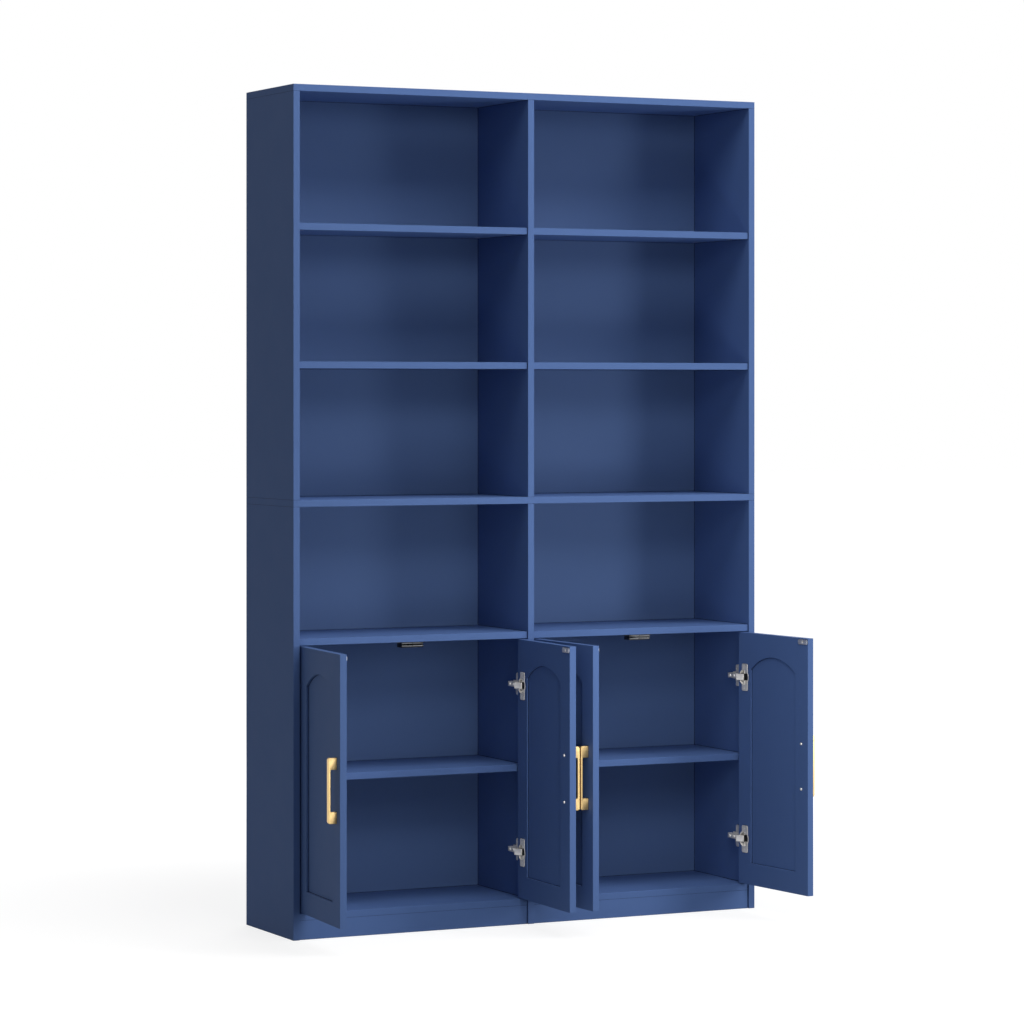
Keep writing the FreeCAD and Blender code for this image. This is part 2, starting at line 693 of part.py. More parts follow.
# A hinge's cup and flange: origin at the cup's centre on the door's inner face, +x towards the free edge.
flange = rounded("flange", "flange_width", "flange_sheet", "flange_height", "flange_corner", 1)
put(flange, "flange_offset - flange_width / 2", "0", "-flange_height / 2")
cup_shell = cut("cup_shell", fuse("cup_solid", [
    flange,
    rod("cup_rim_rod", "cup_diameter / 2 + cup_rim", "flange_sheet", way="+y"),
    rod("cup_bucket", "cup_diameter / 2 - fit_play", "cup_depth", way="-y")]), [
    rod("cup_hollow", "cup_diameter / 2 - cup_wall", "cup_depth - cup_wall + flange_sheet", "0",
        "flange_sheet", "0", "-y"),
    pointed("flange_low_hole", wood_screw_hole, "+y", "flange_offset", "flange_sheet", "-flange_pitch / 2"),
    pointed("flange_high_hole", wood_screw_hole, "+y", "flange_offset", "flange_sheet", "flange_pitch / 2")])
hinge_cup = fuse("hinge_cup", [
    cup_shell,
    rod("cup_pin_rod", "cup_pin / 2", "2 * cup_pin_half", "-cup_pin_offset", "-cup_pin_below",
        "-cup_pin_half")])

# A strike plate: origin at its centre, its back on the door's inner face.
strike_blank = rounded("strike", "strike_width", "strike_sheet", "strike_height", "strike_corner", 1)
put(strike_blank, "-strike_width / 2", "0", "-strike_height / 2")
strike = cut("strike_plate", strike_blank, [
    pointed("strike_hole", wood_screw_hole, "+y", "0", "strike_sheet")])

# A hinge's link, drawn as it stands at the outer doors' opening: origin at its pivot in the arm's tip. Two
# cheeks hold the arm, a folded strap goes round the door's corner, and a barrel ends it in the cup.
first_leg = group("first_leg", [
    centred_box("first_leg_strap", "link_leg", "link_sheet", "link_height", "link_leg / 2")])
put(first_leg, turn="atan2(-link_bend_forward; link_bend_in)")
second_leg = group("second_leg", [
    centred_box("second_leg_strap", "link_leg_2", "link_sheet", "link_height", "link_leg_2 / 2")])
put(second_leg, "link_bend_in", "-link_bend_forward", turn="atan2(-link_on; -link_back_in)")
arm_gap = group("arm_gap", [
    rod("arm_gap_rod", "link_slot", "arm_slot", z="-arm_slot / 2")])
hinge_link = fuse("hinge_link", [
    cut("link_strap", fuse("link_strap_solid", [
        first_leg,
        second_leg,
        rod("link_eye_rod", "link_eye", "link_height", z="-link_height / 2"),
        rod("link_fold", "link_sheet / 2", "link_height", "link_bend_in", "-link_bend_forward",
            "-link_height / 2"),
        rod("link_barrel_rod", "link_barrel / 2", "link_height", "link_end_in", "-link_end_forward",
            "-link_height / 2")]), [arm_gap]),
    rod("link_pin", "pin_diameter / 2", "link_height", z="-link_height / 2")])

# ---------------------------------------------------------------- doors
# A door's own frame: origin at the middle of its width, on its front face and lower edge, with +x as the
# case's when the door is shut. hand is 1 for a door hinged at its left edge and -1 for one at its right.
DOORS = {
    "door_1": (1, "-wall", "outer_angle"),
    "door_2": (-1, "-half_board", "inner_angle"),
    "door_3": (1, "half_board", "inner_angle"),
    "door_4": (-1, "wall", "outer_angle"),
}


def by_hand(hand, text):
    return f"({text})" if hand > 0 else f"-({text})"


def hang(thing, hand, face, opening):
    """Places a thing drawn in a door's frame, turned open about the door's hinge axis."""
    reach = f"pole_in + across * cos({opening}) - pole_back * sin({opening})"
    depth = f"front + pole_back - across * sin({opening}) - pole_back * cos({opening})"
    return put(thing, f"{face} + {by_hand(hand, reach)}", depth, "door_z", f"-{by_hand(hand, opening)}")


def arch_sketch(body, name, offset):
    """The outline of a recess: straight sides and foot, and a crown that is one low arc."""
    sketch = sketch_on(body, name, "XZ_Plane", offset)
    half, foot, spring = number("arch_half"), number("bottom_rail"), number("spring_z")
    outline = ((half, spring), (half, foot), (-half, foot), (-half, spring))
    corners = [FreeCAD.Vector(x, z, 0) for x, z in outline]
    for start, end in zip(corners, corners[1:]):
        sketch.addGeometry(Part.LineSegment(start, end))
    sketch.addGeometry(Part.Arc(corners[3], FreeCAD.Vector(0, number("crown_z"), 0), corners[0]))
    sketch.addConstraint([Sketcher.Constraint("Coincident", 0, 2, 1, 1),
                          Sketcher.Constraint("Coincident", 1, 2, 2, 1)])
    for corner, (x, z) in ((0, ("arch_half", "spring_z")), (1, ("arch_half", "bottom_rail")),
                           (2, ("-arch_half", "bottom_rail"))):
        pin_point(sketch, corner, 1, x, z)
    pin_point(sketch, 2, 2, "-arch_half", "spring_z")
    for end in (1, 2):
        line, line_end = (0, 1) if sketch.getPoint(3, end).x > 0 else (2, 2)
        sketch.addConstraint(Sketcher.Constraint("Coincident", 3, end, line, line_end))
    index = sketch.addConstraint(Sketcher.Constraint("Radius", 3, number("arch_radius")))
    sketch.setExpression(f"Constraints[{index}]", formula("arch_radius"))
    return sketch


def rim_edges(shape, face_y):
    """The names of the edges round a door's recess, where the face at this depth breaks down into it."""
    reach = number("arch_half") + NEAR
    found = []
    for index, edge in enumerate(shape.Edges, start=1):
        bounds = edge.BoundBox
        flat = bounds.YMax - bounds.YMin < NEAR
        at_face = abs(bounds.YMin - face_y) < NEAR
        if flat and at_face and max(-bounds.XMin, bounds.XMax) < reach:
            found.append(f"Edge{index}")
    return found


for name, (hand, face, opening) in DOORS.items():
    free = "1" if hand > 0 else "-1"
    turned = 0 if hand > 0 else 180

    # the board, recessed on both faces under a low arch
    body = softened(name, "door_width", "door_board", "door_height")
    bind(body.Group[0], **{"Placement.Base.x": "-door_width / 2"})
    doc.recompute([body])
    for side, offset, face_y in (("front", "0", 0), ("back", "-door_board", number("door_board"))):
        arch = arch_sketch(body, f"{name}_{side}_arch", offset)
        recessed = pocket(body, arch, f"{side}_recess", backwards=side == "back")
        doc.recompute([body])
        ease = body.newObject("PartDesign::Fillet", f"{name}_{side}_ease")
        ease.Base = (recessed, rim_edges(recessed.Shape, face_y))
        bind(ease, Radius="recess_ease")
        body.Tip = ease
        doc.recompute([body])

    cup_places = [(f"{name}_{hinge}_cup", f"-{free} * cup_x", height) for hinge, height in HINGES.items()]
    cuts, cups, screws = [], [], []
    for label, x, z in cup_places:
        cuts.append(rod(f"{label}_bore", "cup_diameter / 2", "cup_depth + fit_play", x, "door_board", z,
                        "-y"))
        cups.append(copy(label, hinge_cup, x, "door_board", z, (0, 1, 0), turned))
        for hole, shift in (("under", "-"), ("over", "+")):
            at = (f"{x} + {free} * flange_offset", "door_board + flange_sheet",
                  f"{z} {shift} flange_pitch / 2")
            cuts.append(pointed(f"{label}_{hole}_hole", wood_screw_hole, "+y", *at))
            screws.append(pointed(f"{label}_{hole}_screw", wood_screw, "+y", *at))
    for hole, shift in (("low", "-"), ("high", "+")):
        at = (f"{free} * pull_x", "door_board", f"door_height / 2 {shift} pull_pitch / 2")
        cuts.append(pointed(f"{name}_{hole}_pull_hole", pull_screw_hole, "+y", *at))
        screws.append(pointed(f"{name}_{hole}_pull_screw", pull_screw, "+y", *at))
    at = (f"{free} * strike_x", "door_board + strike_sheet", "strike_z")
    cuts.append(pointed(f"{name}_strike_hole", wood_screw_hole, "+y", *at))
    screws.append(pointed(f"{name}_strike_screw", wood_screw, "+y", *at))

    door = (hand, face, opening)
    node(f"{name}_board", hang(cut(f"{name}_panel", body, cuts), *door))
    node(f"{name}_pull", hang(group(f"{name}_pull_place", [
        copy(f"{name}_pull_copy", pull, f"{free} * pull_x", "0", "door_height / 2")]), *door))
    node(f"{name}_hinge_cups", hang(group(f"{name}_cup_set", cups), *door))
    node(f"{name}_strike_plate", hang(group(f"{name}_strike_place", [
        copy(f"{name}_strike_copy", strike, f"{free} * strike_x", "door_board", "strike_z")]), *door))
    node(f"{name}_screws", hang(group(f"{name}_screw_set", screws), *door))

    # the links of its two hinges, turning together about the pivots in the arms
    links = [copy(f"{name}_{hinge}_link", hinge_link, "0", "0", height, (0, 1, 0), turned)
             for hinge, height in HINGES.items()]
    node(f"{name}_hinge_links", put(
        group(f"{name}_link_set", links), f"{face} + {by_hand(hand, 'arm_pivot_in')}", "front + pivot_back",
        "door_z", f"{free} * link_ratio * (outer_angle - {opening})"))

# ---------------------------------------------------------------- hinge arms and mounting plates
# In the arm's frame the wall's face is x = 0, the case's front is y = 0 and the hinge's height is z = 0.
wing = rounded("wing", "plate_sheet", "wing_width", "wing_height", "wing_corner", 0)
put(wing, "0", "plate_back - wing_width / 2", "-wing_height / 2")
arm_screw_places = ("plate_back - wing_width / 2", "plate_back + arm_shoulder")
arm_screw_holes = [rod(f"arm_screw_hole_{index}", "arm_screw / 2 + fit_play", "arm_screw_length + fit_play",
                       "arm_top", y, way="-x") for index, y in enumerate(arm_screw_places)]
hinge_plate = cut("hinge_plate", fuse("hinge_plate_solid", [
    wing,
    centred_box("saddle", "saddle_rise", "saddle_length", "saddle_height", "saddle_rise / 2", "plate_back")]),
    arm_screw_holes + [
        pointed(f"plate_{hole}_hole", plate_screw_hole, "+x", "plate_sheet", "plate_back",
                f"{sign} * plate_pitch / 2") for hole, sign in (("under", "-1"), ("over", "1"))])

arm_body = doc.addObject("PartDesign::Body", "arm_body")
arm_sketch = sketch_on(arm_body, "arm_profile", "XY_Plane")
polygon(arm_sketch, [
    ("arm_base", "plate_back + arm_tail"),
    ("arm_base", "plate_back - arm_shoulder"),
    ("arm_pivot_in - tip_radius", "pivot_back + 2 * tip_radius"),
    ("arm_pivot_in - tip_radius", "pivot_back"),
    ("arm_pivot_in + tip_radius", "pivot_back"),
    ("arm_pivot_in + tip_radius", "pivot_back + tip_radius"),
    ("arm_top", "plate_back - arm_shoulder"),
    ("arm_top", "plate_back + arm_tail"),
])
pad(arm_body, arm_sketch, "arm_height", midplane=True)
hinge_arm = cut("hinge_arm", fuse("hinge_arm_solid", [
    arm_body,
    rod("arm_tip", "tip_radius", "arm_height", "arm_pivot_in", "pivot_back", "-arm_height / 2")]),
    arm_screw_holes + [
        rod("arm_pin_hole", "pin_diameter / 2 + running_play", "arm_height", "arm_pivot_in", "pivot_back",
            "-arm_height / 2")])
arm_screw = cut("arm_screw_body", fuse("arm_screw_solid", [
    rod("arm_screw_head_rod", "arm_screw_head / 2", "arm_screw_head_height", way="+x"),
    rod("arm_screw_shank", "arm_screw / 2", "arm_screw_length", way="-x")]), [
    centred_box("arm_screw_cross_a", "screw_head_height", "slot_share * arm_screw_head", "screw_cross",
                "arm_screw_head_height"),
    centred_box("arm_screw_cross_b", "screw_head_height", "screw_cross", "slot_share * arm_screw_head",
                "arm_screw_head_height")])

plates, arms, plate_screws, arm_screws = [], [], [], []
for name, (hand, face, opening) in DOORS.items():
    turned = 0 if hand > 0 else 180
    way = "+x" if hand > 0 else "-x"
    for hinge, height in HINGES.items():
        label = f"{name}_{hinge}"
        z = f"door_z + {height}"
        plates.append(copy(f"{label}_plate", hinge_plate, face, "front", z, (0, 1, 0), turned))
        arms.append(copy(f"{label}_arm", hinge_arm, face, "front", z, (0, 1, 0), turned))
        for hole, shift in (("under", "-"), ("over", "+")):
            plate_screws.append(pointed(f"{label}_{hole}_plate_screw", plate_screw, way,
                                        f"{face} + {by_hand(hand, 'plate_sheet')}", "plate_y",
                                        f"{z} {shift} plate_pitch / 2"))
        for index, y in enumerate(arm_screw_places):
            arm_screws.append(copy(f"{label}_arm_screw_{index}", arm_screw,
                                   f"{face} + {by_hand(hand, 'arm_top')}", f"front + {y}", z, (0, 1, 0),
                                   turned))
node("hinge_plates", group("hinge_plate_set", plates))
node("hinge_arms", group("hinge_arm_set", arms))
node("hinge_plate_screws", group("plate_screw_set", plate_screws))
node("hinge_arm_screws", group("arm_screw_set", arm_screws))

# ---------------------------------------------------------------- magnetic catches
# A catch's frame: x = 0 in its middle, y = 0 at its front face, z = 0 at its underside.
pole_height = {"under": "(catch_height - pole_spacing) / 2", "over": "(catch_height + pole_spacing) / 2"}
pole_middle = {"left": "-(pole_split + pole_length) / 2", "right": "(pole_split + pole_length) / 2"}
poles, pole_slots = [], []
for place, z in pole_height.items():
    for side, x in pole_middle.items():
        poles.append(centred_box(f"pole_{place}_{side}", "pole_length", "pole_depth", "pole_sheet", x,
                                 "pole_depth / 2 - pole_proud", z))
        pole_slots.append(centred_box(f"pole_slot_{place}_{side}", "pole_length + 2 * fit_play",
                                      "pole_depth", "pole_sheet + 2 * fit_play", x,
                                      "pole_depth / 2 - pole_proud + fit_play", z))
catch = cut("catch", fuse("catch_solid", [
    centred_box("catch_body", "2 * catch_body_half", "catch_length", "catch_height", "0",
                "catch_length / 2", "catch_height / 2"),
    centred_box("catch_ears", "catch_width", "catch_length / 2", "catch_ear_sheet", "0",
                "catch_length / 2", "catch_height - catch_ear_sheet / 2")]), pole_slots + [
    pointed(f"catch_{side}_hole", wood_screw_hole, "-z", x, "catch_length / 2",
            "catch_height - catch_ear_sheet") for side, x in (("left", "-ear_hole"), ("right", "ear_hole"))])

catches, catch_poles, catch_screws = [], [], []
for bay, (left_face, right_face, bay_middle) in BAYS.items():
    catches.append(copy(f"{bay}_catch", catch, bay_middle, "catch_face", "catch_z"))
    catch_poles += [copy(f"{bay}_{pole.Name}", pole, bay_middle, "catch_face", "catch_z") for pole in poles]
    for side, sign in (("left", "-"), ("right", "+")):
        catch_screws.append(pointed(f"{bay}_{side}_catch_screw", wood_screw, "-z",
                                    f"{bay_middle} {sign} ear_hole", "catch_face + catch_length / 2",
                                    "cabinet_top_z - catch_ear_sheet"))
node("magnetic_catches", group("catch_set", catches))
node("catch_poles", group("catch_pole_set", catch_poles))
node("catch_screws", group("catch_screw_set", catch_screws))

# ---------------------------------------------------------------- check and export
doc.recompute()
for thing in doc.Objects:
    if {"Invalid", "Error"} & set(thing.State):
        raise RuntimeError(f"{thing.Label} did not compute: {thing.State}")
for name, thing in nodes.items():
    if thing.Shape.isNull() or not thing.Shape.isValid() or not thing.Shape.Solids:
        raise RuntimeError(f"{name} has no valid solid")

os.makedirs("parts", exist_ok=True)
for name, thing in nodes.items():
    thing.Shape.exportStep(f"parts/{name}.step")
print(len(nodes), "nodes,", sum(len(thing.Shape.Solids) for thing in nodes.values()), "solids")
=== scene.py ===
"""A bookcase with four open bays a side above a cabinet with four inset doors, dressed as it is put together.

Metres, +Z up, the front faces -Y. The doors stand open. Each section is one piece or group of like pieces.
"""
import json
import math

import bmesh
import bpy
import numpy
from mathutils import Matrix, Vector


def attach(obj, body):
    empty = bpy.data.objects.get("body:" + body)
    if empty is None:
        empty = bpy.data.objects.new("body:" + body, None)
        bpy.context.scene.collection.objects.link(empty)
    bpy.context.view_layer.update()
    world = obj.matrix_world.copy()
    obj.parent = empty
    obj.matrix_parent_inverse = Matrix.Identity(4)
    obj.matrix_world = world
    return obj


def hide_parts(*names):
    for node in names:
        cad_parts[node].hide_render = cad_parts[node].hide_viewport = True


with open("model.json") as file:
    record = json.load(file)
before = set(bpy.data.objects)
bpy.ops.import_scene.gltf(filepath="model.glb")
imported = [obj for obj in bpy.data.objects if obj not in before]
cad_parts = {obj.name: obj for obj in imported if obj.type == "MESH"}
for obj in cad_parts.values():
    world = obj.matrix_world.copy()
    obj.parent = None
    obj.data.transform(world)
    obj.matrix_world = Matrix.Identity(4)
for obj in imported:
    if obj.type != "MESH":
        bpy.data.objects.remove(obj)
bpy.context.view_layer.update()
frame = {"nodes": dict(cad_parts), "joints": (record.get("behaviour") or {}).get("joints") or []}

scene = bpy.context.scene

# ---------------------------------------------------------------- uprights
# Three lower uprights stand on the floor and three upper ones on the middle panel: 15 mm MDF boards, sawn,
# their edges eased with a fine cutter, grooved for the backs and bored, then sprayed all over in satin blue.


def linear(colour):
    """A colour written as sRGB hex, as the linear values that a shader takes, by the standard curve."""
    parts = [int(colour[start:start + 2], 16) / 255 for start in (1, 3, 5)]
    return [part / 12.92 if part <= 0.04045 else ((part + 0.055) / 1.055) ** 2.4 for part in parts] + [1.0]


def add(tree, kind, inputs=None, **settings):
    """Adds a node with its settings.

    A socket is called by its name, or by its number where two share a name. It takes a value, the output that
    is linked to it, or a list of outputs.
    """
    made = tree.nodes.new(kind)
    for name, value in settings.items():
        setattr(made, name, value)
    for name, value in (inputs or {}).items():
        sources = value if isinstance(value, list) else [value]
        if isinstance(sources[0], bpy.types.NodeSocket):
            for source in sources:
                tree.links.new(source, made.inputs[name])
        else:
            made.inputs[name].default_value = value
    return made


def new_material(name):
    """An empty material and its node tree."""
    material = bpy.data.materials.new(name)
    material.use_nodes = True
    material.node_tree.nodes.clear()
    return material, material.node_tree


def dress(material, *names):
    """Gives CAD nodes a material."""
    for name in names:
        mesh = frame["nodes"][name].data
        mesh.materials.clear()
        mesh.materials.append(material)


MM = 0.001
# The sockets of a Mix node that is set to colours.
MIX_A, MIX_B, MIXED = 6, 7, 2
# Nearly all of a noise texture lies between these two.
NOISE_LOW, NOISE_HIGH = 0.3, 0.7


def satin_paint(name, low, high, peel_size, peel_depth):
    """Polyurethane lacquer over a smooth board: even colour, a low soft sheen and a faint orange peel.

    Inside corners, recesses and the thin joints between boards carry painted shade: the colour darkens for
    about a millimetre where other faces stand close around.
    """
    drift_size = 220 * MM       # between the lighter and darker passes of the spray
    haze_size = 35 * MM         # between patches that dried duller and shinier
    shiny, dull = 0.67, 0.71    # roughness
    sheen = 0.16                # a third of what a gloss lacquer reflects
    corner_reach = 1.2 * MM
    corner_depth = 8.0          # the higher, the darker
    material, tree = new_material(name)
    place = add(tree, "ShaderNodeTexCoord").outputs["Object"]
    drift = add(tree, "ShaderNodeTexNoise", {"Vector": place, "Scale": 1 / drift_size, "Detail": 2.0})
    sprayed = add(tree, "ShaderNodeMix", {
        "Factor": drift.outputs["Fac"], MIX_A: linear(low), MIX_B: linear(high)}, data_type="RGBA")
    # Painted shade: the colour darkens in inside corners, recesses and joints, where other faces stand within
    # corner_reach.
    corner = add(tree, "ShaderNodeAmbientOcclusion", {"Distance": corner_reach}, samples=8)
    painted_corner_shade = add(tree, "ShaderNodeMath", {0: corner.outputs["AO"], 1: corner_depth}, operation="POWER")
    colour = add(tree, "ShaderNodeMix", {
        "Factor": 1.0, MIX_A: sprayed.outputs[MIXED], MIX_B: painted_corner_shade.outputs[0]}, data_type="RGBA",
        blend_type="MULTIPLY")
    haze = add(tree, "ShaderNodeTexNoise", {"Vector": place, "Scale": 1 / haze_size, "Detail": 3.0})
    rough = add(tree, "ShaderNodeMapRange", {
        "Value": haze.outputs["Fac"], "From Min": NOISE_LOW, "From Max": NOISE_HIGH, "To Min": shiny,
        "To Max": dull})
    peel = add(tree, "ShaderNodeTexNoise", {"Vector": place, "Scale": 1 / peel_size, "Detail": 1.0})
    bump = add(tree, "ShaderNodeBump", {
        "Height": peel.outputs["Fac"], "Strength": 0.5, "Distance": peel_depth})
    shader = add(tree, "ShaderNodeBsdfPrincipled", {
        "Base Color": colour.outputs[MIXED], "Roughness": rough.outputs["Result"], "IOR": 1.5,
        "Specular IOR Level": sheen, "Normal": bump.outputs["Normal"]})
    add(tree, "ShaderNodeOutputMaterial", {"Surface": shader.outputs["BSDF"]})
    return material


# Orange peel on sprayed board is about 1.5 mm across; it is drawn at 4 mm so that it shows from a distance.
blue_board = satin_paint("satin_lacquer_on_mdf", low="#4E699C", high="#526DA1", peel_size=4 * MM,
                         peel_depth=0.05 * MM)
dress(blue_board, *[f"{tier}_{upright}" for tier in ("lower", "upper")
                    for upright in ("left_side", "divider", "right_side")])

# ---------------------------------------------------------------- shelves, cabinet tops, bottoms and plinths
# The level boards between the uprights, of the same lacquered 15 mm MDF, held at each end by two cams and a
# dowel. The plinth boards are 42 mm strips on edge under the bottom panels, with a dowel at each end.
dress(blue_board, *[f"{level}_{side}" for side in ("left", "right")
                    for level in ("bottom_panel", "plinth", "cabinet_shelf", "cabinet_top", "lower_shelf",
                                  "upper_shelf")])

# ---------------------------------------------------------------- middle and top panels
# Two boards of the same lacquered 15 mm MDF over the whole width, so that their ends show at the sides. Each
# is screwed down onto the three uprights below it.
dress(blue_board, "middle_panel", "top_panel")

# ---------------------------------------------------------------- back panels
# Four sheets of 3 mm hardboard, roller-coated in the same blue, loose in grooves all round. The rollers leave
# the paint flatter and a little greyer than on the sprayed boards.

# The rollers' stipple is about a millimetre across; it too is drawn coarser, at 2.5 mm.
blue_sheet = satin_paint("roller_coat_on_hardboard", low="#516A97", high="#556E9C", peel_size=2.5 * MM,
                         peel_depth=0.03 * MM)
dress(blue_sheet, *[f"{tier}_back_{side}" for tier in ("lower", "upper") for side in ("left", "right")])

# ---------------------------------------------------------------- dowels
# Turned beech pegs, 8 mm thick, with rolled flutes that let the glue out and chamfered ends, one third in one
# board and two thirds in the other. Pale, fine-grained wood.


def new_tree(name, sizes, sums):
    """A geometry tree that takes points, named sizes and a finish, and the outputs that carry them by name.

    Each sum names one more size, and gives its operation and the two sizes or numbers that it works on.
    """
    tree = bpy.data.node_groups.new(name, "GeometryNodeTree")
    for flow in ("INPUT", "OUTPUT"):
        tree.interface.new_socket("Geometry", in_out=flow, socket_type="NodeSocketGeometry")
    for label, start in sizes.items():
        kind = "NodeSocketInt" if isinstance(start, int) else "NodeSocketFloat"
        tree.interface.new_socket(label, in_out="INPUT", socket_type=kind).default_value = start
    tree.interface.new_socket("Finish", in_out="INPUT", socket_type="NodeSocketMaterial")
    size = {socket.name: socket for socket in add(tree, "NodeGroupInput").outputs}
    for label, (operation, *terms) in sums.items():
        size[label] = add(tree, "ShaderNodeMath", {
            place: size.get(term, term) for place, term in enumerate(terms)}, operation=operation).outputs[0]
    return tree, size


def stub(tree, size, low_radius, high_radius, height, foot):
    """A closed round stub, straight or tapered. Its radii, height and foot are given as named sizes."""
    cone = add(tree, "GeometryNodeMeshCone", {
        "Vertices": size["Sides"], "Radius Bottom": size[low_radius], "Radius Top": size[high_radius],
        "Depth": size[height]}).outputs["Mesh"]
    place = add(tree, "ShaderNodeCombineXYZ", {"Z": size[foot]}).outputs[0]
    return add(tree, "GeometryNodeTransform", {"Geometry": cone, "Translation": place}).outputs[0]


def one_on_each_seat(tree, size, shape, seed):
    """Ends a tree: the shape on each point, its +Z along the point's way, turned by chance about it."""
    largest, drawn = 3, 1       # the sockets of a Random Value node that is set to plain numbers
    way = add(tree, "GeometryNodeInputNamedAttribute", {"Name": "way"}, data_type="FLOAT_VECTOR").outputs[0]
    facing = add(tree, "FunctionNodeAlignRotationToVector", {"Vector": way}, axis="Z").outputs[0]
    chance = add(tree, "FunctionNodeRandomValue", {largest: math.tau, "Seed": seed}, data_type="FLOAT")
    spin = add(tree, "FunctionNodeAxisAngleToRotation", {
        "Axis": (0, 0, 1), "Angle": chance.outputs[drawn]}).outputs[0]
    turned = add(tree, "FunctionNodeRotateRotation", {"Rotation": facing, "Rotate By": spin},
                 rotation_space="LOCAL").outputs[0]
    copies = add(tree, "GeometryNodeInstanceOnPoints", {
        "Points": size["Geometry"], "Instance": shape, "Rotation": turned}).outputs[0]
    whole = add(tree, "GeometryNodeRealizeInstances", {"Geometry": copies}).outputs[0]
    done = add(tree, "GeometryNodeSetMaterial", {"Geometry": whole, "Material": size["Finish"]}).outputs[0]
    add(tree, "NodeGroupOutput", {"Geometry": done})


def put(name, data):
    """A new object in the scene that holds a mesh, a lamp or a camera."""
    made = bpy.data.objects.new(name, data)
    scene.collection.objects.link(made)
    return made


def as_plain_mesh(holder):
    """What an object comes to with its modifiers, as a plain mesh. The object itself goes."""
    plain = bpy.data.meshes.new_from_object(holder.evaluated_get(bpy.context.evaluated_depsgraph_get()))
    bpy.data.objects.remove(holder)
    return plain


def grow(name, tree, seats, finish, **sizes):
    """Runs a tree on seats and gives what grew as a plain mesh. A size not given keeps the tree's own."""
    points = bpy.data.meshes.new(name)
    points.from_pydata([top for length, top, way in seats], [], [])
    ways = points.attributes.new("way", "FLOAT_VECTOR", "POINT")
    ways.data.foreach_set("vector", [number for length, top, way in seats for number in way])
    holder = put(name, points)
    modifier = holder.modifiers.new(name, "NODES")
    modifier.node_group = tree
    asked = {"Finish": finish, **{label.replace("_", " "): value for label, value in sizes.items()}}
    for item in tree.interface.items_tree:
        if item.name in asked:
            modifier[item.identifier] = asked[item.name]
    return as_plain_mesh(holder)


def joined_up(node):
    """A copy of a CAD node's shape whose loose triangles are joined at their corners."""
    shape = bmesh.new()
    shape.from_mesh(frame["nodes"][node].data)
    bmesh.ops.remove_doubles(shape, verts=shape.verts, dist=0.001 * MM)
    return shape


def seats_of(node):
    """The length of each solid of a CAD node, the middle of its head's top, and the way that faces.

    The head is the wider end of the solid, and its length is its longest direction. The solids are walked in
    the mesh's own order and sorted by place, and what float noise could change is rounded off, so that each
    gets the same turn at every run.
    """
    steady_digits = 5
    wider_by = 0.1 * MM
    shape = joined_up(node)
    unseen = dict.fromkeys(shape.verts)
    found = []
    while unseen:
        reached = [unseen.popitem()[0]]
        for corner in reached:
            for edge in corner.link_edges:
                near = edge.other_vert(corner)
                if near in unseen:
                    del unseen[near]
                    reached.append(near)
        points = numpy.array([corner.co for corner in reached])
        middle = (points.max(axis=0) + points.min(axis=0)) / 2
        # The first row of the third factor is the way in which the corners are spread furthest.
        way = numpy.linalg.svd(points - points.mean(axis=0))[2][0]
        way = numpy.round(way * numpy.sign(way[numpy.abs(way).argmax()]), steady_digits)
        along = (points - middle) @ way
        aside = numpy.linalg.norm(points - middle - numpy.outer(along, way), axis=1)
        if aside[along > 0].max() < aside[along < 0].max() - wider_by:
            way, along = -way, -along
        found.append((along.max() - along.min(), middle + way * along.max(), way))
    shape.free()
    return sorted(found, key=lambda seat: tuple(numpy.round(seat[1], steady_digits)))


def finish_off(name, body, node, mesh):
    """Puts a finished mesh in the scene: it rides on a body and stands for a CAD node."""
    piece = put(name, mesh)
    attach(piece, body)
    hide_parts(node)


def settle(name, body, slot, node, *meshes):
    """Makes one smooth-shaded piece of grown meshes, without the slivers that their cuts left."""
    sliver = 0.002 * MM
    crease = math.radians(40)
    whole = bmesh.new()
    for mesh in meshes:
        whole.from_mesh(mesh)
    bmesh.ops.remove_doubles(whole, verts=whole.verts, dist=sliver)
    bmesh.ops.dissolve_degenerate(whole, edges=whole.edges, dist=sliver)
    joined = meshes[0]
    whole.to_mesh(joined)
    whole.free()
    joined.shade_smooth()
    joined.set_sharp_from_angle(angle=crease)
    finish_off(name, body, node, joined)


# Turned beech, unfinished: a dull surface with flecks of the grain, a millimetre or two long.
FLECK = 1.5 * MM
beech, tree = new_material("turned_beech")
place = add(tree, "ShaderNodeTexCoord").outputs["Object"]
grain = add(tree, "ShaderNodeTexNoise", {
    "Vector": place, "Scale": 1 / FLECK, "Detail": 4.0, "Distortion": 1.0})
colour = add(tree, "ShaderNodeMix", {
    "Factor": grain.outputs["Fac"], MIX_A: linear("#C39B6A"), MIX_B: linear("#DDBD8F")}, data_type="RGBA")
bump = add(tree, "ShaderNodeBump", {"Height": grain.outputs["Fac"], "Strength": 0.3, "Distance": 0.05 * MM})
shader = add(tree, "ShaderNodeBsdfPrincipled", {
    "Base Color": colour.outputs[MIXED], "Roughness": 0.6, "Normal": bump.outputs["Normal"]})
add(tree, "ShaderNodeOutputMaterial", {"Surface": shader.outputs["BSDF"]})

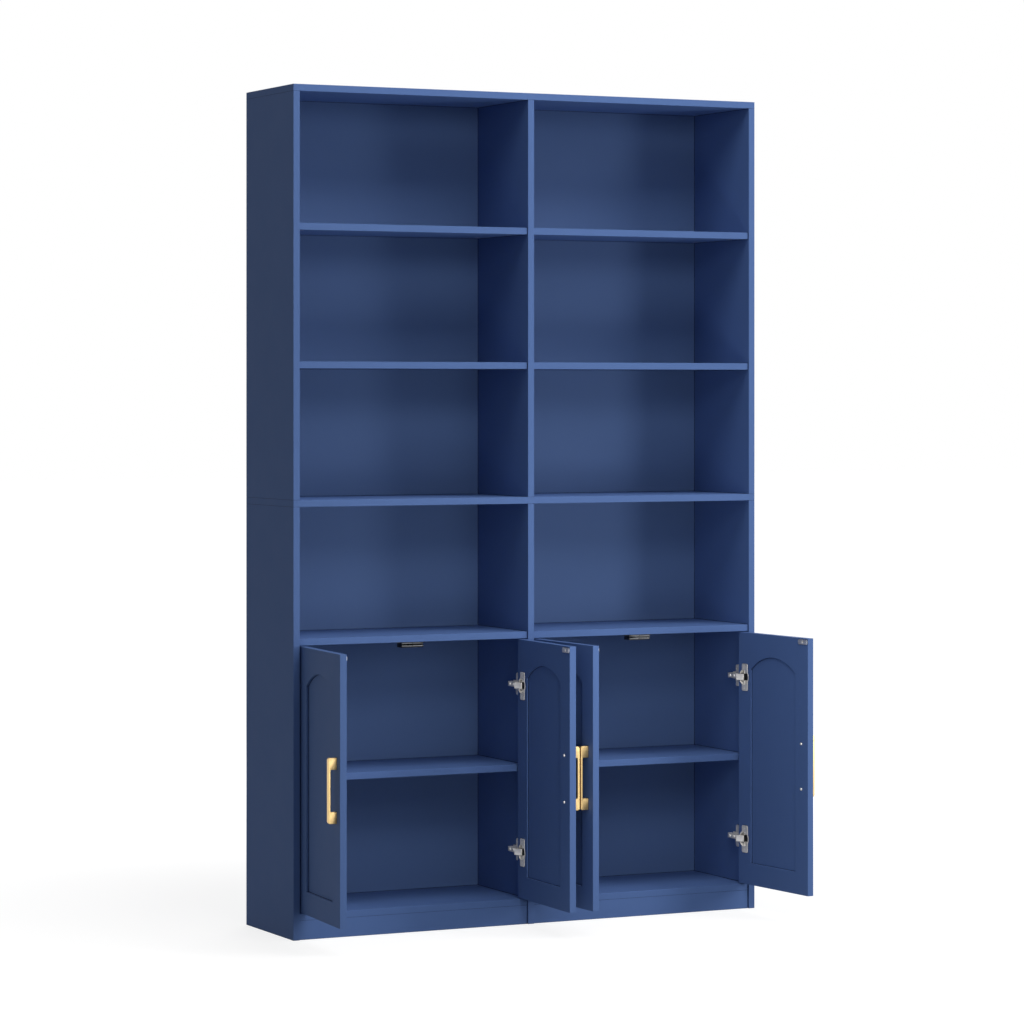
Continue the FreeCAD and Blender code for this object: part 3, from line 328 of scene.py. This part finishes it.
# A dowel hangs down from its seat, the middle of one end: a star drawn along it makes the flutes, and a cone
# closes each end.
fluted, size = new_tree("fluted_dowel", {
    "Diameter": 8 * MM, "Length": 30 * MM, "Chamfer": 1.5 * MM, "Flute Depth": 0.4 * MM, "Flutes": 16,
    "Sides": 24}, {
    "radius": ("MULTIPLY", "Diameter", 0.5),
    "flute radius": ("SUBTRACT", "radius", "Flute Depth"),
    "nose radius": ("SUBTRACT", "radius", "Chamfer"),
    "foot": ("MULTIPLY", "Length", -1.0),
    "low end of flutes": ("SUBTRACT", "Chamfer", "Length"),
    "high end of flutes": ("MULTIPLY", "Chamfer", -1.0)})
ridges = add(fluted, "GeometryNodeCurveStar", {
    "Points": size["Flutes"], "Inner Radius": size["flute radius"], "Outer Radius": size["radius"]})
low_end, high_end = [add(fluted, "ShaderNodeCombineXYZ", {"Z": size[f"{end} end of flutes"]}).outputs[0]
                     for end in ("low", "high")]
run = add(fluted, "GeometryNodeCurvePrimitiveLine", {"Start": low_end, "End": high_end})
barrel = add(fluted, "GeometryNodeCurveToMesh", {
    "Curve": run.outputs["Curve"], "Profile Curve": ridges.outputs["Curve"], "Fill Caps": True})
peg = add(fluted, "GeometryNodeMeshBoolean", {"Mesh 2": [
    barrel.outputs["Mesh"],
    stub(fluted, size, "nose radius", "flute radius", "Chamfer", "foot"),
    stub(fluted, size, "flute radius", "nose radius", "Chamfer", "high end of flutes")]},
    operation="UNION", solver="EXACT").outputs["Mesh"]
one_on_each_seat(fluted, size, peg, seed=3)
settle("dowels_fluted", "case", "beech", "wooden_dowels",
       grow("dowels", fluted, seats_of("wooden_dowels"), beech))


# ---------------------------------------------------------------- cams, bolts and screws in the boards
# Zinc-plated fittings: cast discs with a cross slot, whose mouths close on the bolts' heads, and screws down
# through the middle and top panels. Blue-grey, fairly bright metal.
def plated_metal(name, dark, light, shiny, dull, marks):
    """A metal whose surface is faintly uneven in colour, shine and height, in marks so long on each axis.

    The marks that rolling, tumbling or brushing leave are finer than 0.1 mm, and are drawn as wide as they
    need to be to show.
    """
    material, tree = new_material(name)
    place = add(tree, "ShaderNodeTexCoord").outputs["Object"]
    along = add(tree, "ShaderNodeMapping", {"Vector": place, "Scale": [1 / length for length in marks]})
    lines = add(tree, "ShaderNodeTexNoise", {"Vector": along.outputs["Vector"], "Scale": 1.0, "Detail": 3.0})
    colour = add(tree, "ShaderNodeMix", {
        "Factor": lines.outputs["Fac"], MIX_A: linear(dark), MIX_B: linear(light)}, data_type="RGBA")
    rough = add(tree, "ShaderNodeMapRange", {
        "Value": lines.outputs["Fac"], "From Min": NOISE_LOW, "From Max": NOISE_HIGH, "To Min": shiny,
        "To Max": dull})
    bump = add(tree, "ShaderNodeBump", {
        "Height": lines.outputs["Fac"], "Strength": 0.3, "Distance": 0.02 * MM})
    shader = add(tree, "ShaderNodeBsdfPrincipled", {
        "Base Color": colour.outputs[MIXED], "Metallic": 1.0, "Roughness": rough.outputs["Result"],
        "Normal": bump.outputs["Normal"]})
    add(tree, "ShaderNodeOutputMaterial", {"Surface": shader.outputs["BSDF"]})
    return material


zinc = plated_metal("zinc_plate", dark="#8E9298", light="#B4B8BD", shiny=0.3, dull=0.45,
                    marks=(2 * MM, 2 * MM, 2 * MM))
dress(zinc, "cam_discs", "cam_bolts", "divider_bolts")

# A screw hangs down from its seat, the top of its head: a raised crown, a sunk cone, a core and a tip, and a
# rolled thread. The tip laps into the core, so that no two faces coincide. Two crossed blocks, centred on the
# seat, cut the recess for a driver.
screw, size = new_tree("cross_recessed_screw", {
    "Head Diameter": 6.4 * MM, "Head Sunk": 1.5 * MM, "Head Raised": 0.15 * MM, "Thread Diameter": 3.5 * MM,
    "Length": 13 * MM, "Pitch": 1.4 * MM, "Cross Length": 3.8 * MM, "Cross Width": 0.8 * MM,
    "Cross Depth": 1.4 * MM, "Point Radius": 0.1 * MM, "Tip Lap": 0.05 * MM, "Thread Facets": 12,
    "Sides": 20}, {
    "head radius": ("MULTIPLY", "Head Diameter", 0.5),
    "crown radius": ("MULTIPLY", "head radius", 0.75),
    "under head": ("MULTIPLY", "Head Raised", -1.0),
    "foot of cone": ("SUBTRACT", "under head", "Head Sunk"),
    "crest radius": ("MULTIPLY", "Thread Diameter", 0.5),
    "core radius": ("MULTIPLY", "crest radius", 0.72),
    "ridge radius": ("SUBTRACT", "crest radius", "core radius"),
    "tip length": ("MULTIPLY", "Thread Diameter", 0.6),
    "lapped tip length": ("ADD", "tip length", "Tip Lap"),
    "tip radius": ("MULTIPLY", "core radius", 0.95),
    "point": ("SUBTRACT", "under head", "Length"),
    "shank length": ("SUBTRACT", "Length", "tip length"),
    "foot of shank": ("SUBTRACT", "under head", "shank length"),
    "thread length": ("MULTIPLY", "shank length", 0.8),
    "turns": ("DIVIDE", "thread length", "Pitch"),
    "cutter height": ("MULTIPLY", "Cross Depth", 2.0)})
blank = add(screw, "GeometryNodeMeshBoolean", {"Mesh 2": [
    stub(screw, size, "Point Radius", "tip radius", "lapped tip length", "point"),
    stub(screw, size, "core radius", "core radius", "shank length", "foot of shank"),
    stub(screw, size, "crest radius", "head radius", "Head Sunk", "foot of cone"),
    stub(screw, size, "head radius", "crown radius", "Head Raised", "under head")]},
    operation="UNION", solver="EXACT").outputs["Mesh"]
wings = []
for along, across in (("Cross Length", "Cross Width"), ("Cross Width", "Cross Length")):
    block = add(screw, "ShaderNodeCombineXYZ", {
        "X": size[along], "Y": size[across], "Z": size["cutter height"]})
    wings.append(add(screw, "GeometryNodeMeshCube", {"Size": block.outputs[0]}).outputs["Mesh"])
headed = add(screw, "GeometryNodeMeshBoolean", {"Mesh 1": blank, "Mesh 2": wings}, operation="DIFFERENCE",
             solver="EXACT").outputs["Mesh"]
coil = add(screw, "GeometryNodeCurveSpiral", {
    "Resolution": size["Thread Facets"], "Rotations": size["turns"], "Start Radius": size["core radius"],
    "End Radius": size["core radius"], "Height": size["thread length"]}).outputs["Curve"]
coil_foot = add(screw, "ShaderNodeCombineXYZ", {"Z": size["foot of shank"]}).outputs[0]
lowered = add(screw, "GeometryNodeTransform", {"Geometry": coil, "Translation": coil_foot}).outputs[0]
ridge = add(screw, "GeometryNodeCurvePrimitiveCircle", {"Resolution": 4, "Radius": size["ridge radius"]})
thread = add(screw, "GeometryNodeCurveToMesh", {
    "Curve": lowered, "Profile Curve": ridge.outputs["Curve"], "Fill Caps": True}).outputs["Mesh"]
both = add(screw, "GeometryNodeJoinGeometry", {"Geometry": [headed, thread]}).outputs[0]
one_on_each_seat(screw, size, both, seed=7)
settle("panel_screws_cut", "case", "zinc_fittings", "panel_screws", grow(
    "panel_screws", screw, seats_of("panel_screws"), zinc, Length=49.8 * MM, Head_Diameter=9.8 * MM,
    Head_Sunk=2.8 * MM, Thread_Diameter=5 * MM, Pitch=2.4 * MM, Cross_Length=5.6 * MM, Cross_Width=1.1 * MM,
    Cross_Depth=2 * MM))

# ---------------------------------------------------------------- concealed hinges
# On the case's side: a pressed steel mounting plate with two wings, screwed to the upright, and a steel arm
# screwed to the plate. Every edge is tumbled round before the parts are plated.

# Nickel plate over tumbled steel: pale and faintly warm, with a broad soft shine.
nickel = plated_metal("nickel_plate", dark="#DCD9D4", light="#F6F4F1", shiny=0.58, dull=0.72,
                      marks=(1 * MM, 1 * MM, 6 * MM))


def eased(node, width, finish, levels=()):
    """A copy of a CAD node with its flats whole again and its sharp edges rounded over by a width.

    Its faces are parted at each level, so that two materials, such as plating and painted shade, can meet
    there.
    """
    flat_within = math.radians(0.5)
    edge_from = math.radians(32)
    shape = joined_up(node)
    bmesh.ops.dissolve_limit(shape, angle_limit=flat_within, verts=shape.verts, edges=shape.edges)
    for level in levels:
        bmesh.ops.bisect_plane(shape, geom=shape.verts[:] + shape.edges[:] + shape.faces[:],
                               dist=0.001 * MM, plane_co=(0, 0, level), plane_no=(0, 0, 1))
    blank = bpy.data.meshes.new(node)
    shape.to_mesh(blank)
    shape.free()
    blank.shade_smooth()
    blank.materials.append(finish)
    holder = put(node, blank)
    rounding = holder.modifiers.new("rounding", "BEVEL")
    rounding.width = width
    rounding.segments = 2
    rounding.limit_method = "ANGLE"
    rounding.angle_limit = edge_from
    rounding.use_clamp_overlap = False
    rounding.harden_normals = True
    return as_plain_mesh(holder)


for node, width in (("hinge_plates", 0.35 * MM), ("hinge_arms", 0.5 * MM)):
    finish_off(f"{node}_eased", "case", node, eased(node, width, nickel))

# The arms' and the pulls' screws are machine screws: the head stands on the surface and the thread is fine.
MACHINE_SCREW = {"Head_Sunk": 0.05 * MM, "Thread_Diameter": 4 * MM, "Pitch": 0.8 * MM}
settle("hinge_plate_screws_cut", "case", "nickelled_steel", "hinge_plate_screws", grow(
    "plate_screws", screw, seats_of("hinge_plate_screws"), nickel, Length=8.8 * MM))
settle("hinge_arm_screws_cut", "case", "nickelled_steel", "hinge_arm_screws", grow(
    "arm_screws", screw, seats_of("hinge_arm_screws"), nickel, Length=12.5 * MM, Head_Diameter=7 * MM,
    Head_Raised=1.6 * MM, Cross_Length=4.4 * MM, **MACHINE_SCREW))

# ---------------------------------------------------------------- magnetic catches
# Moulded black ABS, screwed up under each cabinet top, with two pairs of steel poles that grip the doors'
# strike plates. The poles are ground bare steel, greyer than the plated parts.

# The mould is spark-eroded, which gives the black a soft shine. Its grain is finer than 0.2 mm, and it is
# drawn at 0.6 mm so that it shows.
GRAIN = 0.6 * MM
black_abs, tree = new_material("moulded_abs")
place = add(tree, "ShaderNodeTexCoord").outputs["Object"]
spark = add(tree, "ShaderNodeTexNoise", {"Vector": place, "Scale": 1 / GRAIN, "Detail": 2.0})
bump = add(tree, "ShaderNodeBump", {"Height": spark.outputs["Fac"], "Strength": 0.4, "Distance": 0.03 * MM})
rough = add(tree, "ShaderNodeMapRange", {
    "Value": spark.outputs["Fac"], "From Min": NOISE_LOW, "From Max": NOISE_HIGH, "To Min": 0.38,
    "To Max": 0.5})
shader = add(tree, "ShaderNodeBsdfPrincipled", {
    "Base Color": linear("#15161A"), "Roughness": rough.outputs["Result"], "IOR": 1.53,
    "Normal": bump.outputs["Normal"]})
add(tree, "ShaderNodeOutputMaterial", {"Surface": shader.outputs["BSDF"]})
ground_steel = plated_metal("ground_steel", dark="#5E6064", light="#86888C", shiny=0.35, dull=0.5,
                            marks=(8 * MM, 0.6 * MM, 0.6 * MM))
finish_off("magnetic_catches_eased", "case", "magnetic_catches",
           eased("magnetic_catches", 0.5 * MM, black_abs))
finish_off("catch_poles_eased", "case", "catch_poles",
           eased("catch_poles", 0.2 * MM, ground_steel))
settle("catch_screws_cut", "case", "nickelled_steel", "catch_screws", grow(
    "catch_screws", screw, seats_of("catch_screws"), nickel, Length=12.8 * MM))

# ---------------------------------------------------------------- doors
# Four boards of 15 mm MDF, routed on both faces with a shallow recess under a low arch, and lacquered like
# the case. Each hangs on two concealed hinges.
DOORS = ("door_1", "door_2", "door_3", "door_4")
dress(blue_board, *[f"{door}_board" for door in DOORS])

# ---------------------------------------------------------------- pulls
# A cast bar on two feet on each door's front, held by two screws from behind. It is brushed along its length
# before it is plated: pale warm metal with fine upright lines.
brushed_gold = plated_metal("brushed_gold_plate", dark="#D3B274", light="#EBCE98", shiny=0.38, dull=0.5,
                            marks=(0.5 * MM, 0.5 * MM, 12 * MM))
for door in DOORS:
    finish_off(f"{door}_pull_eased", door, f"{door}_pull",
               eased(f"{door}_pull", 0.6 * MM, brushed_gold))

# ---------------------------------------------------------------- hinge links
# The folded steel link of each hinge turns on the arm and reaches into the cup, beside the cup's pin. It is
# tumbled and nickel-plated like the arm.
for door in DOORS:
    finish_off(f"{door}_hinge_links_eased", f"{door}_links", f"{door}_hinge_links",
               eased(f"{door}_hinge_links", 0.4 * MM, nickel))

# ---------------------------------------------------------------- hinge cups
# Pressed steel cups, let into the doors, screwed down by their flanges and plated like the arms. Inside each,
# a dark strip as wide as the link that folds into it is painted shade.

# Painted shade for the hollow of a cup: a dark, matt, faintly mottled grey.
MOTTLE = 1.2 * MM
painted_cup_shade, tree = new_material("painted_shade_in_cups")
place = add(tree, "ShaderNodeTexCoord").outputs["Object"]
mottle = add(tree, "ShaderNodeTexNoise", {"Vector": place, "Scale": 1 / MOTTLE, "Detail": 3.0})
colour = add(tree, "ShaderNodeMix", {
    "Factor": mottle.outputs["Fac"], MIX_A: linear("#17181A"), MIX_B: linear("#2A2B2E")}, data_type="RGBA")
shader = add(tree, "ShaderNodeBsdfPrincipled", {"Base Color": colour.outputs[MIXED], "Roughness": 0.55})
add(tree, "ShaderNodeOutputMaterial", {"Surface": shader.outputs["BSDF"]})

# The middles of a door's cups stand at these heights and this far from its pole. A face within the hollow's
# radius is inside the cup and not on its flange.
CUP_HEIGHTS = (0.162, 0.533)
CUP_FROM_POLE = 14.0 * MM
CUP_HOLLOW = 16.8 * MM
# The painted shade in a cup reaches this far above and below its middle.
SHADE_HALF = 8 * MM
SHADE_ENDS = [height + side * SHADE_HALF for height in CUP_HEIGHTS for side in (-1, 1)]


def shade_cup_hollows(cups, hinge):
    """Paints shade onto the hollows of a door's two hinge cups, in a strip about each cup's middle.

    The cups are round in the plane of the door, so their corners are measured where they are with it shut.
    """
    pole = Vector(hinge["pos_m"])
    hand = hinge["axis"][2]     # 1 or -1, by the way the door turns to shut
    shutting = Matrix.Rotation(math.radians(hinge["range_deg"][1] * hand), 3, "Z")
    corners = [shutting @ (corner.co - pole) + pole for corner in cups.vertices]
    # The dark painted shade goes on the faces inside each cup's hollow, near its middle.
    shaded_slot = len(cups.materials)
    cups.materials.append(painted_cup_shade)
    for face in cups.polygons:
        height = min(CUP_HEIGHTS, key=lambda middle: abs(face.center.z - middle))
        hollow = all(math.hypot(corners[index].x - pole.x - hand * CUP_FROM_POLE, corners[index].z - height)
                     < CUP_HOLLOW for index in face.vertices)
        if hollow and abs(face.center.z - height) < SHADE_HALF:
            face.material_index = shaded_slot


JOINTS = {joint["name"]: joint for joint in frame["joints"]}
for door in DOORS:
    cups = eased(f"{door}_hinge_cups", 0.3 * MM, nickel, SHADE_ENDS)
    shade_cup_hollows(cups, JOINTS[f"{door}_hinge"])
    finish_off(f"{door}_hinge_cups_eased", door, f"{door}_hinge_cups", cups)

# ---------------------------------------------------------------- strike plates
# A small rounded plate near each door's upper free corner, held by one screw, which the catch pulls on. It is
# cut from zinc-plated strip, duller and bluer than the hinges' nickel.
dull_zinc = plated_metal("dull_zinc_strip", dark="#ADB1BC", light="#C8CBD4", shiny=0.52, dull=0.64,
                         marks=(2 * MM, 2 * MM, 2 * MM))
for door in DOORS:
    finish_off(f"{door}_strike_plate_eased", door, f"{door}_strike_plate",
               eased(f"{door}_strike_plate", 0.35 * MM, dull_zinc))

# ---------------------------------------------------------------- screws in the doors
# Seven nickel-plated steel screws a door: four short ones in the flanges of the hinge cups, one in the strike
# plate, and two long ones that run through the board into the feet of the pull.
LONGEST_SHORT = 20 * MM
for door in DOORS:
    seats = seats_of(f"{door}_screws")
    short = grow("short_screws", screw, [seat for seat in seats if seat[0] < LONGEST_SHORT], nickel,
                 Length=12.8 * MM)
    long = grow("long_screws", screw, [seat for seat in seats if seat[0] > LONGEST_SHORT], nickel,
                Length=24 * MM, Head_Diameter=6 * MM, Head_Raised=1.8 * MM, Cross_Length=3.6 * MM,
                **MACHINE_SCREW)
    settle(f"{door}_screws_cut", door, "nickelled_steel", f"{door}_screws", short, long)

# ---------------------------------------------------------------- floor, light and camera
# A pale seamless floor that fades to white with distance, and a white room behind it. Soft lamps light the
# object at a plain level, and the white is only for the eye and for reflections.
def seen_directly(tree):
    """One for a ray from the eye, a glossy surface or glass, and nothing for a ray that lights a surface."""
    rays = add(tree, "ShaderNodeLightPath").outputs
    eye_or_gloss = add(tree, "ShaderNodeMath", {0: rays["Is Camera Ray"], 1: rays["Is Glossy Ray"]},
                       operation="MAXIMUM").outputs[0]
    return add(tree, "ShaderNodeMath", {0: eye_or_gloss, 1: rays["Is Transmission Ray"]},
               operation="MAXIMUM").outputs[0]


REACH = 40.0
DROP = 0.5 * MM             # just under the object's feet, so that no two faces share a plane
floor_mesh = bpy.data.meshes.new("floor")
floor_mesh.from_pydata([(x * REACH, y * REACH, -DROP) for x, y in ((-1, -1), (1, -1), (1, 1), (-1, 1))], [],
                       [(0, 1, 2, 3)])
floor = put("floor", floor_mesh)

# Near the object the floor is a little short of white. It reaches white at the far edge of the fade.
FADE_NEAR, FADE_FAR = 0.8, 2.6
GLOW_NEAR, GLOW_FAR = 0.8, 1.0
pale, tree = new_material("pale_floor")
seen = seen_directly(tree)
place = add(tree, "ShaderNodeTexCoord").outputs["Object"]
away = add(tree, "ShaderNodeVectorMath", {0: place}, operation="LENGTH").outputs["Value"]
fade = add(tree, "ShaderNodeMapRange", {
    "Value": away, "From Min": FADE_NEAR, "From Max": FADE_FAR, "To Min": GLOW_NEAR, "To Max": GLOW_FAR})
glow = add(tree, "ShaderNodeMath", {0: seen, 1: fade.outputs["Result"]}, operation="MULTIPLY").outputs[0]
matt = add(tree, "ShaderNodeBsdfDiffuse", {"Color": linear("#969696")})
lift = add(tree, "ShaderNodeEmission", {"Color": linear("#FFFFFF"), "Strength": glow})
both = add(tree, "ShaderNodeAddShader", {0: matt.outputs["BSDF"], 1: lift.outputs["Emission"]})
add(tree, "ShaderNodeOutputMaterial", {"Surface": both.outputs["Shader"]})
floor_mesh.materials.append(pale)

ROOM_LIGHT = 0.18           # what the room adds to the lamps
ROOM_SEEN = 1.0             # white
world = bpy.data.worlds.new("studio")
scene.world = world
world.use_nodes = True
tree = world.node_tree
tree.nodes.clear()
seen = seen_directly(tree)
ambient = add(tree, "ShaderNodeBackground", {"Color": linear("#FFFFFF"), "Strength": ROOM_LIGHT})
white = add(tree, "ShaderNodeBackground", {"Color": linear("#FFFFFF"), "Strength": ROOM_SEEN})
room = add(tree, "ShaderNodeMixShader", {0: seen, 1: ambient.outputs[0], 2: white.outputs[0]})
add(tree, "ShaderNodeOutputWorld", {"Surface": room.outputs["Shader"]})

# Each lamp: where it is, what it points at, its width and height, and its watts.
LIGHTS = {
    "low_front": ((0.0, -1.05, 0.8), (0.0, -0.3, 0.6), 0.5, 0.3, 1.8),
    "low_left": ((-0.45, -1.5, 0.35), (0.3, 0.0, 0.5), 0.4, 0.3, 2.0),
    "low_right": ((1.7, -1.9, 0.65), (0.0, -0.2, 0.6), 0.5, 0.6, 12.0),
    "over_front": ((0.0, -1.4, 3.3), (0.0, 0.0, 0.7), 2.0, 1.2, 35.0),
    "right_front": ((2.6, -2.4, 3.2), (0.0, 0.0, 0.7), 1.6, 1.6, 42.0),
    "front": ((-0.3, -2.8, 2.2), (0.0, 0.0, 0.8), 0.7, 0.6, 11.0),
    "left_rear": ((-3.0, 1.8, 1.4), (-0.5, 0.0, 0.9), 1.4, 2.2, 0.6),
    "rear": ((1.6, 3.4, 2.4), (0.2, 0.0, 0.9), 2.4, 1.6, 70.0),
}
for name, (spot, target, width, height, power) in LIGHTS.items():
    lamp = bpy.data.lights.new(name, "AREA")
    lamp.shape = "RECTANGLE"
    lamp.size = width
    lamp.size_y = height
    lamp.energy = power
    holder = put(name, lamp)
    holder.visible_camera = False
    holder.location = spot
    holder.rotation_euler = (Vector(target) - Vector(spot)).to_track_quat("-Z", "Y").to_euler()

# The camera stands at the front left and looks level, so that uprights stay upright. Its film is shifted down
# to frame the object.
LEVEL = math.radians(90)
TURNED_RIGHT = math.radians(-26.27)
camera = bpy.data.cameras.new("camera")
camera.lens = 129.3
camera.sensor_width = 36.0
camera.shift_y = -0.116
camera.clip_end = 200.0
viewer = put("camera", camera)
viewer.location = (-3.673, -7.480, 1.185)
viewer.rotation_euler = (LEVEL, 0.0, TURNED_RIGHT)
scene.camera = viewer
scene.view_settings.view_transform = "Standard"
